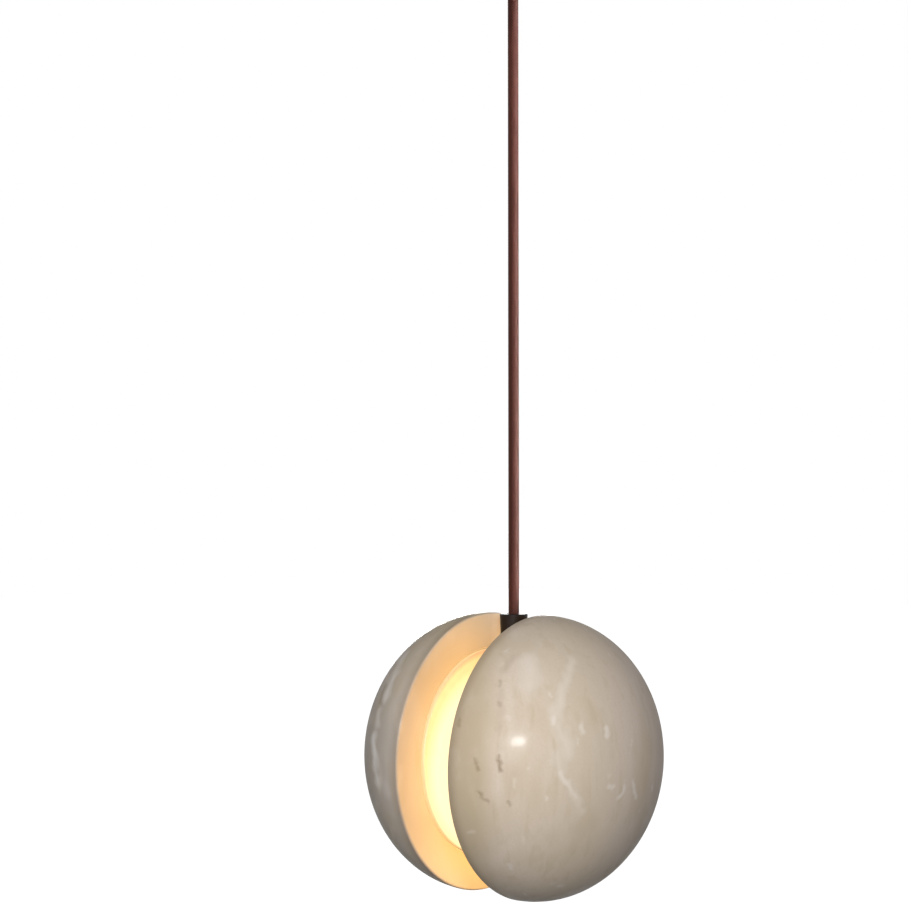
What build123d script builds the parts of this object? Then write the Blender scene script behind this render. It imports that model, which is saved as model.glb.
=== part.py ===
from build123d import *
import os
from math import acos, asin, cos, degrees, hypot, radians, sin, sqrt, tan

# A pendant lamp: two stone domes with facing light discs, on a cord from a ceiling canopy. Millimetres.
# The origin is the middle of the ceiling bracket's top face, +Z is up, and the axis through both domes
# is parallel to X.

# Stone domes
dome_radius = 90.0
dome_depth = 74.0
face_gap = 41.0
rim_fillet = 1.5
face_ring_width = 23.5
lip_chamfer = 0.6
ledge_width = 9.5
pole_thickness = 29.0
cavity_corner_share = 0.6

# Light discs, trays and boards inside the domes
diffuser_thickness = 3.0
diffuser_proud = 2.0
diffuser_edge = 1.0
skirt_depth = 5.0
skirt_wall = 2.0
tray_depth = 8.0
tray_floor = 4.0
tray_wall = 2.0
gasket_thickness = 1.0
board_thickness = 1.6
board_edge_margin = 3.0
board_hub_margin = 7.0
chip_length = 3.5
chip_width = 2.8
chip_height = 0.8
chip_edge_margin = 10.0
outer_chip_count = 16
inner_chip_count = 8
screw_count = 3
board_screw_radius = 1.5
board_screw_length = 5.0
board_screw_head_radius = 2.75
board_screw_head_height = 1.6

# Hub, axle and inserts
axle_radius = 5.0
axle_end_gap = 2.0
axle_chamfer = 1.0
hub_radius = 13.0
boss_wall = 3.0
grub_radius = 2.5
grub_recess = 0.5
insert_wall = 2.0
insert_length = 16.0
glue_pocket = 1.0

# Cord, its ferrule and the hanger
cord_diameter = 7.0
cord_drop = 430.0
ferrule_wall = 1.4
ferrule_length = 11.0
ferrule_floor = 2.0
flange_step = 0.75
flange_thickness = 3.0
washer_thickness = 1.0
hanger_top_wall = 5.0
hanger_wall = 2.0
hanger_flare = 1.1
hanger_edge = 0.8
spigot_length = 9.0
stem_shoulder = 1.05
spigot_wall = 2.4

# Leads in the head
stem_lead_radius = 2.0
led_lead_radius = 0.9
led_lead_bend = 2.0
gallery_margin = 0.5
led_lead_landing = 4.0

# Ball joint in the canopy floor
swing_angle = 15.0
ball_wall = 4.0
ball_flat_width = 1.0
liner_wall = 1.8
liner_top_angle = 4.0
pivot_rise = 4.0
socket_lip = 1.0
socket_wall = 1.5
socket_flange_width = 5.5
nose_drop = 8.0
ring_nut_wall = 4.0
ring_nut_height = 4.0
ring_nut_notches = 4
ring_nut_notch = 2.5
stop_wall = 3.0
stop_height = 7.0
stop_screw_radius = 1.5
cord_tail = 4.0

# Ceiling bracket and canopy
bracket_width = 22.0
bracket_thickness = 2.0
bracket_bend = 1.0
ear_height = 16.0
ear_screw_height = 7.0
slot_spacing = 60.0
slot_length = 12.0
slot_width = 5.0
earth_screw_offset = 14.0
earth_screw_radius = 2.0
earth_head_radius = 3.5
earth_head_height = 2.4
canopy_wall = 1.5
canopy_edge = 5.0
canopy_margin = 5.0
canopy_headroom = 5.0
canopy_screw_radius = 2.0
canopy_head_radius = 4.2
canopy_head_height = 3.2
canopy_head_edge = 0.8
canopy_screw_tip = 2.0
hex_key_radius = 1.5
hex_key_depth = 1.6

# Driver and wiring in the canopy
driver_length = 48.0
driver_width = 25.0
driver_height = 16.0
driver_edge = 2.0
driver_pad_thickness = 1.0
terminal_length = 30.0
terminal_width = 16.0
terminal_height = 14.0
terminal_poles = 3
terminal_screw_radius = 1.8
terminal_screw_depth = 6.0
connector_length = 12.0
connector_width = 12.0
connector_height = 8.0
canopy_lead_radius = 1.5
canopy_lead_height = 4.5
canopy_lead_bend = 8.0
canopy_lead_reach = 12.0
wiring_clearance = 2.0

# Clearances
thread_clearance = 0.05
grip_clearance = 0.05
joint_clearance = 0.1
end_clearance = 0.1
bond_gap = 0.1
hole_clearance = 0.3
swivel_clearance = 0.3
disc_clearance = 0.4
cord_clearance = 0.5
ear_clearance = 0.6

# Depths from a dome's flat face, positive into the stone
disc_front = -diffuser_proud
disc_back = disc_front + diffuser_thickness
tray_floor_front = disc_back + tray_depth
tray_back = tray_floor_front + tray_floor
ledge_depth = tray_back + gasket_thickness
cavity_floor = dome_depth - pole_thickness
board_front = tray_floor_front - board_thickness
insert_end = cavity_floor + insert_length
hub_half_length = face_gap / 2 + tray_floor_front
axle_half_length = face_gap / 2 + insert_end - axle_end_gap

# Radii about the domes' axis
disc_radius = dome_radius - face_ring_width
recess_radius = disc_radius + disc_clearance
cavity_radius = disc_radius - ledge_width
cavity_fillet = cavity_corner_share * (cavity_floor - ledge_depth)
tray_inner_radius = disc_radius - tray_wall
skirt_radius = tray_inner_radius - hole_clearance
board_radius = skirt_radius - skirt_wall - board_edge_margin
board_hole_radius = hub_radius + board_hub_margin
outer_chip_radius = board_radius - chip_edge_margin
inner_chip_radius = board_hole_radius + chip_edge_margin
board_screw_circle = (outer_chip_radius + inner_chip_radius) / 2
axle_bore_radius = axle_radius + thread_clearance
insert_radius = axle_bore_radius + insert_wall

# Radii about the cord
cord_radius = cord_diameter / 2
grip_radius = cord_radius + grip_clearance
cord_hole_radius = cord_radius + cord_clearance
ferrule_radius = grip_radius + ferrule_wall
flange_radius = ferrule_radius + flange_step
hanger_bore = flange_radius + swivel_clearance
hanger_bottom_radius = hanger_bore + hanger_wall
hanger_top_radius = hanger_bottom_radius + hanger_flare
spigot_radius = hanger_bore - thread_clearance
stem_radius = spigot_radius + stem_shoulder
stem_bore = spigot_radius - spigot_wall
boss_radius = hanger_bore + boss_wall
lead_hole_radius = stem_lead_radius + hole_clearance

# Ball joint: the cord leans furthest when both swings are at their limit
full_lean = acos(cos(radians(swing_angle)) ** 2)
ball_radius = cord_radius + ball_wall
ball_flat_radius = grip_radius + ball_flat_width
ball_flat_height = sqrt(ball_radius**2 - ball_flat_radius**2)
liner_inner_radius = ball_radius + joint_clearance
liner_outer_radius = liner_inner_radius + liner_wall
seat_radius = liner_outer_radius + joint_clearance
liner_mouth = radians(swing_angle) + asin(cord_hole_radius / liner_inner_radius)
seat_mouth = full_lean + asin(cord_hole_radius / seat_radius)
stop_radius = grip_radius + stop_wall
socket_flange_radius = seat_radius + socket_flange_width

# Heights, down from the ceiling
cord_top = -bracket_thickness - canopy_headroom
stop_top = cord_top - cord_tail
stop_bottom = stop_top - stop_height
pivot_z = stop_bottom - ball_flat_height
canopy_bottom = pivot_z - pivot_rise
canopy_floor = canopy_bottom + canopy_wall
nose_bottom = canopy_bottom - nose_drop
mouth_radius = (cord_hole_radius / cos(full_lean)) + (pivot_z - nose_bottom) * tan(full_lean)
nose_radius = mouth_radius + socket_wall
hanger_top = canopy_bottom - cord_drop
shoulder_z = hanger_top - hanger_top_wall
flange_top = shoulder_z - washer_thickness - end_clearance
ferrule_bottom = flange_top - ferrule_length
cord_bottom = ferrule_bottom + ferrule_floor
hanger_bottom = ferrule_bottom - end_clearance - spigot_length
head_z = hanger_top - dome_radius
gallery_radius = led_lead_radius + gallery_margin
chamber_floor = head_z + axle_radius + gallery_margin
led_lead_z = chamber_floor + gallery_margin + gallery_radius
spigot_floor = led_lead_z + gallery_radius + gallery_margin
boss_top = spigot_floor + spigot_length

# Canopy, sized to hold the driver beside the socket
driver_offset = socket_flange_radius + wiring_clearance
driver_middle = driver_offset + driver_width / 2
terminal_middle = -(socket_flange_radius + wiring_clearance + terminal_width / 2)
canopy_inner_radius = hypot(driver_length / 2, driver_offset + driver_width) + canopy_margin
canopy_radius = canopy_inner_radius + canopy_wall
ear_reach = sqrt(canopy_inner_radius**2 - (bracket_width / 2) ** 2) - ear_clearance
screw_z = ear_screw_height - ear_height
lead_x = driver_length / 2 + canopy_lead_reach
lead_z = canopy_floor + canopy_lead_height

head_axis = Axis((0, 0, head_z), (1, 0, 0))
head_section = Plane(origin=(0, 0, head_z), x_dir=(0, 1, 0), z_dir=(1, 0, 0))
sides = {"right": 1, "left": -1}

os.makedirs("parts", exist_ok=True)


def save(builder, name):
    """Label a finished piece and write it."""
    builder.part.label = name
    export_step(builder.part, f"parts/{name}.step")


def face_plane(side, depth):
    """A plane parallel to a dome's flat face, looking into the stone, with its x axis up."""
    return Plane(
        origin=(side * (face_gap / 2 + depth), 0, head_z), x_dir=(0, 0, 1), z_dir=(side, 0, 0)
    )


def profile_plane(side):
    """A plane through the domes' axis: x is the depth into the stone and y the radius."""
    return Plane(origin=(side * face_gap / 2, 0, head_z), x_dir=(side, 0, 0), z_dir=(0, -side, 0))


def turned_half_piece(side, outline):
    """A solid turned about the domes' axis, from an outline of depths and radii."""
    with BuildPart() as piece:
        with BuildSketch(profile_plane(side)):
            with BuildLine():
                Polyline(*outline, close=True)
            make_face()
        revolve(axis=head_axis)
    return piece


def turned_cord_piece(outline):
    """A solid turned about the cord's axis, from an outline of radii and heights."""
    with BuildPart() as piece:
        with BuildSketch(Plane.XZ):
            with BuildLine():
                Polyline(*outline, close=True)
            make_face()
        revolve(axis=Axis.Z)
    return piece


def round_lead(points, bend, radius):
    """A round lead along straight runs with arcs at the corners."""
    with BuildPart() as lead:
        with BuildLine() as path:
            FilletPolyline(*points, radius=bend)
        with BuildSketch(Plane(origin=path.line @ 0, z_dir=path.line % 0)):
            Circle(radius)
        sweep(path=path.line)
    return lead


# Ceiling bracket: a bar with two slots for ceiling screws and an ear bent down at each end
with BuildPart() as ceiling_bracket:
    with BuildSketch(Plane.XZ) as bar_profile:
        with BuildLine():
            Polyline(
                (-ear_reach, 0),
                (ear_reach, 0),
                (ear_reach, -ear_height),
                (ear_reach - bracket_thickness, -ear_height),
                (ear_reach - bracket_thickness, -bracket_thickness),
                (bracket_thickness - ear_reach, -bracket_thickness),
                (bracket_thickness - ear_reach, -ear_height),
                (-ear_reach, -ear_height),
                close=True,
            )
        make_face()
        outer_corners = bar_profile.vertices().group_by(Axis.Y)[-1]
        fillet(outer_corners, bracket_bend + bracket_thickness)
        inner_x = ear_reach - bracket_thickness
        for x in (inner_x, -inner_x):
            fillet(bar_profile.vertices().sort_by_distance((x, -bracket_thickness))[0], bracket_bend)
    extrude(amount=bracket_width / 2, both=True)
    with BuildSketch(Plane.XY):
        with GridLocations(slot_spacing, 0, 2, 1):
            SlotOverall(slot_length, slot_width)
        with Locations((earth_screw_offset, 0)):
            Circle(earth_screw_radius + thread_clearance)
    extrude(amount=-bracket_thickness, mode=Mode.SUBTRACT)
    with BuildSketch(Plane.YZ):
        with Locations((0, screw_z)):
            Circle(canopy_screw_radius + thread_clearance)
    extrude(amount=ear_reach, both=True, mode=Mode.SUBTRACT)
save(ceiling_bracket, "ceiling_bracket")

# Earth screw, its head under the bar and its end just below the ceiling
with BuildPart() as earth_screw:
    with BuildSketch(Plane.XY.offset(-bracket_thickness)):
        with Locations((earth_screw_offset, 0)):
            Circle(earth_head_radius)
    extrude(amount=-earth_head_height)
    with BuildSketch(Plane.XY.offset(-bracket_thickness)):
        with Locations((earth_screw_offset, 0)):
            Circle(earth_screw_radius)
    extrude(amount=bracket_thickness - end_clearance)
save(earth_screw, "earth_screw")

# Canopy cup: open to the ceiling, with a hole for the socket and two for its side screws
socket_hole_radius = nose_radius + hole_clearance
with BuildPart() as canopy_cup:
    with BuildSketch(Plane.XZ) as cup_profile:
        with BuildLine():
            Polyline(
                (socket_hole_radius, canopy_bottom),
                (canopy_radius, canopy_bottom),
                (canopy_radius, 0),
                (canopy_inner_radius, 0),
                (canopy_inner_radius, canopy_floor),
                (socket_hole_radius, canopy_floor),
                close=True,
            )
        make_face()
        fillet(cup_profile.vertices().sort_by_distance((canopy_radius, canopy_bottom))[0], canopy_edge)
        fillet(
            cup_profile.vertices().sort_by_distance((canopy_inner_radius, canopy_floor))[0],
            canopy_edge - canopy_wall,
        )
    revolve(axis=Axis.Z)
    with BuildSketch(Plane.YZ):
        with Locations((0, screw_z)):
            Circle(canopy_screw_radius + hole_clearance)
    extrude(amount=canopy_radius + canopy_wall, both=True, mode=Mode.SUBTRACT)
save(canopy_cup, "canopy_cup")

# Canopy screws: a rounded head with a hex socket outside the cup, threaded into the bracket's ears
canopy_screw_length = canopy_radius - ear_reach + bracket_thickness + canopy_screw_tip
with BuildPart() as canopy_screws:
    for side in sides.values():
        head_plane = Plane(
            origin=(side * canopy_radius, 0, screw_z), x_dir=(0, 1, 0), z_dir=(side, 0, 0)
        )
        with BuildSketch(head_plane):
            Circle(canopy_head_radius)
        extrude(amount=canopy_head_height)
        with BuildSketch(head_plane):
            Circle(canopy_screw_radius)
        extrude(amount=-canopy_screw_length)
    head_rims = canopy_screws.edges().filter_by(GeomType.CIRCLE).sort_by(Axis.X)
    fillet([head_rims[0], head_rims[-1]], canopy_head_edge)
    for side in sides.values():
        head_top = Plane(
            origin=(side * (canopy_radius + canopy_head_height), 0, screw_z),
            x_dir=(0, 1, 0),
            z_dir=(side, 0, 0),
        )
        with BuildSketch(head_top):
            RegularPolygon(hex_key_radius, 6)
        extrude(amount=-hex_key_depth, mode=Mode.SUBTRACT)
save(canopy_screws, "canopy_screws")

# Ball socket: a spherical seat open above, with a mouth flared for the cord's furthest lean
with BuildPart() as ball_socket:
    with BuildSketch(Plane.XZ):
        with BuildLine():
            seat = CenterArc((0, pivot_z), seat_radius, 0, degrees(seat_mouth) - 90)
            Polyline(
                seat @ 1,
                (mouth_radius, nose_bottom),
                (nose_radius, nose_bottom),
                (nose_radius, canopy_floor),
                (socket_flange_radius, canopy_floor),
                (socket_flange_radius, pivot_z + socket_lip),
                (seat_radius, pivot_z + socket_lip),
                seat @ 0,
            )
        make_face()
    revolve(axis=Axis.Z)
save(ball_socket, "ball_socket")

# Ring nut under the canopy floor, with spanner notches
ring_nut_radius = nose_radius + ring_nut_wall
with BuildPart() as socket_ring_nut:
    with BuildSketch(Plane.XY.offset(canopy_bottom)):
        Circle(ring_nut_radius)
        Circle(nose_radius + thread_clearance, mode=Mode.SUBTRACT)
        with PolarLocations(ring_nut_radius, ring_nut_notches):
            Rectangle(ring_nut_notch, ring_nut_notch, mode=Mode.SUBTRACT)
    extrude(amount=-ring_nut_height)
save(socket_ring_nut, "socket_ring_nut")

# Seat liner: a thin spherical cup between ball and socket
liner_start = degrees(liner_mouth) - 90
liner_span = 90 - degrees(liner_mouth) - liner_top_angle
with BuildPart() as seat_liner:
    with BuildSketch(Plane.XZ):
        with BuildLine():
            inside = CenterArc((0, pivot_z), liner_inner_radius, liner_start, liner_span)
            outside = CenterArc((0, pivot_z), liner_outer_radius, liner_start, liner_span)
            Line(inside @ 0, outside @ 0)
            Line(inside @ 1, outside @ 1)
        make_face()
    revolve(axis=Axis.Z)
save(seat_liner, "seat_liner")

# Swivel ball: bored for the cord, with a flat on top for the stop
with BuildPart() as swivel_ball:
    with BuildSketch(Plane.XZ):
        with BuildLine():
            ball_top = degrees(asin(ball_flat_height / ball_radius))
            ball_bottom = -degrees(acos(grip_radius / ball_radius))
            ball_arc = CenterArc((0, pivot_z), ball_radius, ball_bottom, ball_top - ball_bottom)
            Polyline(ball_arc @ 1, (grip_radius, pivot_z + ball_flat_height), ball_arc @ 0)
        make_face()
    revolve(axis=Axis.Z)
save(swivel_ball, "swivel_ball")

# Cord stop: a collar clamped on the cord above the ball, with a grub screw from one side
with BuildPart() as cord_stop:
    with BuildSketch(Plane.XY.offset(stop_bottom)):
        Circle(stop_radius)
        Circle(grip_radius, mode=Mode.SUBTRACT)
    extrude(amount=stop_height)
    with BuildSketch(Plane.YZ):
        with Locations((0, stop_bottom + stop_height / 2)):
            Circle(stop_screw_radius + thread_clearance)
    extrude(amount=stop_radius + stop_wall, mode=Mode.SUBTRACT)
save(cord_stop, "cord_stop")

with BuildPart() as cord_stop_screw:
    with BuildSketch(Plane.YZ.offset(cord_radius)):
        with Locations((0, stop_bottom + stop_height / 2)):
            Circle(stop_screw_radius)
    extrude(amount=stop_radius - cord_radius)
save(cord_stop_screw, "cord_stop_screw")

# Driver on its pad, terminal block, connector and the leads between them
with BuildPart() as driver_pad:
    with BuildSketch(Plane.XY.offset(canopy_floor)):
        with Locations((0, driver_middle)):
            Rectangle(driver_length - 2 * driver_edge, driver_width - 2 * driver_edge)
    extrude(amount=driver_pad_thickness)
save(driver_pad, "driver_pad")

with BuildPart() as led_driver:
    with BuildSketch(Plane.XY.offset(canopy_floor + driver_pad_thickness)):
        with Locations((0, driver_middle)):
            RectangleRounded(driver_length, driver_width, driver_edge)
    extrude(amount=driver_height)
save(led_driver, "led_driver")

terminal_pitch = terminal_length / terminal_poles
with BuildPart() as terminal_block:
    with BuildSketch(Plane.XY.offset(canopy_floor)):
        with Locations((0, terminal_middle)):
            Rectangle(terminal_length, terminal_width)
    extrude(amount=terminal_height)
    with BuildSketch(Plane.XY.offset(canopy_floor + terminal_height)):
        with Locations((0, terminal_middle)):
            with GridLocations(terminal_pitch, terminal_width / 2, terminal_poles, 2):
                Circle(terminal_screw_radius)
    extrude(amount=-terminal_screw_depth, mode=Mode.SUBTRACT)
save(terminal_block, "terminal_block")

with BuildPart() as lead_connector:
    with BuildSketch(Plane.XY.offset(canopy_floor)):
        with Locations((-lead_x, 0)):
            Rectangle(connector_length, connector_width)
    extrude(amount=connector_height)
save(lead_connector, "lead_connector")

driver_input_lead = round_lead(
    [
        (terminal_length / 2, terminal_middle, lead_z),
        (lead_x, terminal_middle, lead_z),
        (lead_x, driver_middle, lead_z),
        (driver_length / 2, driver_middle, lead_z),
    ],
    canopy_lead_bend,
    canopy_lead_radius,
)
save(driver_input_lead, "driver_input_lead")

driver_output_lead = round_lead(
    [
        (-driver_length / 2, driver_middle, lead_z),
        (-lead_x, driver_middle, lead_z),
        (-lead_x, connector_width / 2, lead_z),
    ],
    canopy_lead_bend,
    canopy_lead_radius,
)
save(driver_output_lead, "driver_output_lead")

# Pendant cord: one straight run, drawn tight by the head's weight
with BuildPart() as pendant_cord:
    with BuildSketch(Plane.XY.offset(cord_bottom)):
        Circle(cord_radius)
    extrude(amount=cord_top - cord_bottom)
save(pendant_cord, "pendant_cord")

# Cord ferrule: a sleeve on the cord's lower end, whose flange carries the hanger
cord_ferrule = turned_cord_piece(
    [
        (grip_radius, flange_top),
        (flange_radius, flange_top),
        (flange_radius, flange_top - flange_thickness),
        (ferrule_radius, flange_top - flange_thickness),
        (ferrule_radius, ferrule_bottom),
        (lead_hole_radius, ferrule_bottom),
        (lead_hole_radius, cord_bottom),
        (grip_radius, cord_bottom),
    ]
)
save(cord_ferrule, "cord_ferrule")

swivel_washer = turned_cord_piece(
    [
        (cord_hole_radius, shoulder_z),
        (flange_radius, shoulder_z),
        (flange_radius, shoulder_z - washer_thickness),
        (cord_hole_radius, shoulder_z - washer_thickness),
    ]
)
save(swivel_washer, "swivel_washer")

# Hanger: flush with the tops of the domes, widest at its top, bored for the ferrule and the stem
with BuildPart() as hanger:
    with BuildSketch(Plane.XZ) as hanger_profile:
        with BuildLine():
            Polyline(
                (cord_hole_radius, hanger_top),
                (hanger_top_radius, hanger_top),
                (hanger_bottom_radius, hanger_bottom),
                (hanger_bore, hanger_bottom),
                (hanger_bore, shoulder_z),
                (cord_hole_radius, shoulder_z),
                close=True,
            )
        make_face()
        fillet(hanger_profile.vertices().group_by(Axis.Y)[-1], hanger_edge)
    revolve(axis=Axis.Z)
save(hanger, "hanger")

# Stem: a tube with a spigot at each end, one in the hanger and one in the hub
stem = turned_cord_piece(
    [
        (stem_bore, hanger_bottom + spigot_length),
        (spigot_radius, hanger_bottom + spigot_length),
        (spigot_radius, hanger_bottom),
        (stem_radius, hanger_bottom),
        (stem_radius, boss_top),
        (spigot_radius, boss_top),
        (spigot_radius, spigot_floor),
        (stem_bore, spigot_floor),
    ]
)
save(stem, "stem")

with BuildPart() as stem_lead:
    with BuildSketch(Plane.XY.offset(spigot_floor)):
        Circle(stem_lead_radius)
    extrude(amount=cord_bottom - end_clearance - spigot_floor)
save(stem_lead, "stem_lead")

# Hub: a tee that takes the stem from above and the axle from side to side, with a gallery for the leads
notch_start = face_gap / 2 + disc_back - gallery_margin
notch_width = 2 * (gallery_radius + gallery_margin)
with BuildPart() as hub:
    with BuildSketch(head_section):
        Circle(hub_radius)
    extrude(amount=hub_half_length, both=True)
    with BuildSketch(Plane.XY.offset(head_z)):
        Circle(boss_radius)
    extrude(amount=boss_top - head_z)
    with BuildSketch(Plane.XY.offset(boss_top)):
        Circle(hanger_bore)
    extrude(amount=spigot_floor - boss_top, mode=Mode.SUBTRACT)
    with BuildSketch(Plane.XY.offset(spigot_floor)):
        Circle(stem_bore)
    extrude(amount=chamber_floor - spigot_floor, mode=Mode.SUBTRACT)
    with BuildSketch(head_section):
        Circle(axle_bore_radius)
        with Locations((0, led_lead_z - head_z)):
            Circle(gallery_radius)
    extrude(amount=hub_half_length, both=True, mode=Mode.SUBTRACT)
    with BuildSketch(Plane.XY.offset(led_lead_z)):
        for side in sides.values():
            with Locations((side * (notch_start + hub_half_length) / 2, 0)):
                Rectangle(hub_half_length - notch_start, notch_width)
    extrude(amount=hub_radius, mode=Mode.SUBTRACT)
    with BuildSketch(Plane.XY.offset(head_z)):
        Circle(grub_radius + thread_clearance)
    extrude(amount=-2 * hub_radius, mode=Mode.SUBTRACT)
save(hub, "hub")

with BuildPart() as hub_grub_screw:
    with BuildSketch(Plane.XY.offset(head_z - axle_radius)):
        Circle(grub_radius)
    extrude(amount=axle_radius - hub_radius + grub_recess)
    with BuildSketch(Plane.XY.offset(head_z - hub_radius + grub_recess)):
        RegularPolygon(hex_key_radius, 6)
    extrude(amount=hex_key_depth, mode=Mode.SUBTRACT)
save(hub_grub_screw, "hub_grub_screw")

# Axle: the rod that draws both domes on to the hub
with BuildPart() as axle:
    with BuildSketch(head_section):
        Circle(axle_radius)
    extrude(amount=axle_half_length, both=True)
    chamfer(axle.edges().filter_by(GeomType.CIRCLE), axle_chamfer)
save(axle, "axle")


def make_dome(side):
    """A half ellipsoid of stone, hollowed for the light tray, with a blind hole for the insert."""
    hole_radius = insert_radius + bond_gap
    hole_end = insert_end + glue_pocket
    with BuildPart() as dome:
        with BuildSketch(profile_plane(side)) as dome_profile:
            with BuildLine():
                EllipticalCenterArc((0, 0), dome_depth, dome_radius, arc_size=90)
                Polyline(
                    (0, dome_radius),
                    (0, recess_radius),
                    (ledge_depth, recess_radius),
                    (ledge_depth, cavity_radius),
                    (cavity_floor, cavity_radius),
                    (cavity_floor, hole_radius),
                    (hole_end, hole_radius),
                    (hole_end, 0),
                    (dome_depth, 0),
                )
            make_face()
            fillet(dome_profile.vertices().sort_by_distance((0, dome_radius))[0], rim_fillet)
            fillet(
                dome_profile.vertices().sort_by_distance((cavity_floor, cavity_radius))[0],
                cavity_fillet,
            )
            chamfer(dome_profile.vertices().sort_by_distance((0, recess_radius))[0], lip_chamfer)
        revolve(axis=head_axis)
    return dome


def make_tray(side):
    """A shallow aluminium tray with holes for the axle and the board's screws."""
    axle_hole = axle_radius + hole_clearance
    with BuildPart() as tray:
        with BuildSketch(profile_plane(side)):
            with BuildLine():
                Polyline(
                    (tray_back, axle_hole),
                    (tray_back, disc_radius),
                    (disc_back, disc_radius),
                    (disc_back, tray_inner_radius),
                    (tray_floor_front, tray_inner_radius),
                    (tray_floor_front, axle_hole),
                    close=True,
                )
            make_face()
        revolve(axis=head_axis)
        with BuildSketch(face_plane(side, tray_floor_front)):
            with PolarLocations(board_screw_circle, screw_count):
                Circle(board_screw_radius + thread_clearance)
        extrude(amount=tray_floor, mode=Mode.SUBTRACT)
    return tray


def make_board(side):
    """A ring of circuit board with clearance holes for its screws."""
    with BuildPart() as board:
        with BuildSketch(face_plane(side, board_front)):
            Circle(board_radius)
            Circle(board_hole_radius, mode=Mode.SUBTRACT)
            with PolarLocations(board_screw_circle, screw_count):
                Circle(board_screw_radius + hole_clearance, mode=Mode.SUBTRACT)
        extrude(amount=board_thickness)
    return board


def make_chips(side):
    """Two rings of light chips standing on the board."""
    with BuildPart() as chips:
        with BuildSketch(face_plane(side, board_front)):
            with PolarLocations(outer_chip_radius, outer_chip_count):
                Rectangle(chip_length, chip_width)
            with PolarLocations(inner_chip_radius, inner_chip_count):
                Rectangle(chip_length, chip_width)
        extrude(amount=-chip_height)
    return chips


def make_diffuser(side):
    """An opal disc with a skirt inside the tray and a hole for the hub."""
    hub_hole = hub_radius + disc_clearance
    with BuildPart() as diffuser:
        with BuildSketch(profile_plane(side)) as disc_profile:
            with BuildLine():
                Polyline(
                    (disc_front, hub_hole),
                    (disc_front, disc_radius),
                    (disc_back, disc_radius),
                    (disc_back, skirt_radius),
                    (disc_back + skirt_depth, skirt_radius),
                    (disc_back + skirt_depth, skirt_radius - skirt_wall),
                    (disc_back, skirt_radius - skirt_wall),
                    (disc_back, hub_hole),
                    close=True,
                )
            make_face()
            fillet(
                disc_profile.vertices().sort_by_distance((disc_front, disc_radius))[0], diffuser_edge
            )
        revolve(axis=head_axis)
    return diffuser


def make_led_lead(side):
    """A lead from the hub's chamber along the gallery and up to the board."""
    out_x = side * (face_gap / 2 + disc_back + led_lead_bend + gallery_margin)
    board_x = side * (face_gap / 2 + board_front)
    landing_z = head_z + board_hole_radius + led_lead_landing
    points = [
        (side * led_lead_radius, 0, led_lead_z),
        (out_x, 0, led_lead_z),
        (out_x, 0, landing_z),
        (board_x, 0, landing_z),
    ]
    return round_lead(points, led_lead_bend, led_lead_radius)


# The two halves of the head, each built round its own flat face
for side_name, side in sides.items():
    save(make_dome(side), f"stone_dome_{side_name}")
    dome_insert = turned_half_piece(
        side,
        [
            (cavity_floor, axle_bore_radius),
            (cavity_floor, insert_radius),
            (insert_end, insert_radius),
            (insert_end, axle_bore_radius),
        ],
    )
    save(dome_insert, f"dome_insert_{side_name}")
    gasket = turned_half_piece(
        side,
        [
            (tray_back, cavity_radius + disc_clearance),
            (tray_back, disc_radius),
            (ledge_depth, disc_radius),
            (ledge_depth, cavity_radius + disc_clearance),
        ],
    )
    save(gasket, f"gasket_{side_name}")
    save(make_tray(side), f"led_tray_{side_name}")
    save(make_board(side), f"led_board_{side_name}")
    save(make_chips(side), f"led_chips_{side_name}")
    save(make_diffuser(side), f"diffuser_{side_name}")
    save(make_led_lead(side), f"led_lead_{side_name}")

# Screws that hold both boards on their trays
with BuildPart() as board_screws:
    for side in sides.values():
        with BuildSketch(face_plane(side, board_front)):
            with PolarLocations(board_screw_circle, screw_count):
                Circle(board_screw_head_radius)
        extrude(amount=-board_screw_head_height)
        with BuildSketch(face_plane(side, board_front)):
            with PolarLocations(board_screw_circle, screw_count):
                Circle(board_screw_radius)
        extrude(amount=board_screw_length)
save(board_screws, "board_screws")

print(f"pivot height {pivot_z:.3f}, cord from {cord_bottom:.3f} to {cord_top:.3f}")
print(f"hanger top {hanger_top:.3f}, head axis {head_z:.3f}, canopy radius {canopy_radius:.3f}")
print(f"canopy bottom {canopy_bottom:.3f}, nose bottom {nose_bottom:.3f}, nose radius {nose_radius:.3f}")
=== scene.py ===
import math
import random

import bmesh
import bpy
import numpy as np
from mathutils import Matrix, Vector, noise
from mathutils.kdtree import KDTree


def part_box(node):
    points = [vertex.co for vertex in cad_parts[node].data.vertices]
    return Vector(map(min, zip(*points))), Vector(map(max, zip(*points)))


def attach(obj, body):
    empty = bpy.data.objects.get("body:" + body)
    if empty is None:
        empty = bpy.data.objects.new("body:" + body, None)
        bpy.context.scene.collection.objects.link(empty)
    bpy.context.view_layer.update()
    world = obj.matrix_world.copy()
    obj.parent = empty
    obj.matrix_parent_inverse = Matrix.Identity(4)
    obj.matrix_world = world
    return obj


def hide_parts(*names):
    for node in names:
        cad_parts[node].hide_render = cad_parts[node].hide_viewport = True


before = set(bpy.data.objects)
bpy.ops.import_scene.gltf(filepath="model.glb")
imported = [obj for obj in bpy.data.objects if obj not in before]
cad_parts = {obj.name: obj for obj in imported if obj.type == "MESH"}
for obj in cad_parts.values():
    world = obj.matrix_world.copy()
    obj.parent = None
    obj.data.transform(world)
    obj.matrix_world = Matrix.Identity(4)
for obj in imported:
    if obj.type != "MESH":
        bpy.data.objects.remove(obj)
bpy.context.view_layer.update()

# Sizes read from the frame, in metres. The lamp's head is two domes whose axis is parallel to X.
dome_low, dome_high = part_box("stone_dome_right")
cord_low, cord_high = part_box("pendant_cord")
disc_low, disc_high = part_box("diffuser_right")
gasket_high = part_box("gasket_right")[1]
insert_low, insert_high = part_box("dome_insert_right")
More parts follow.
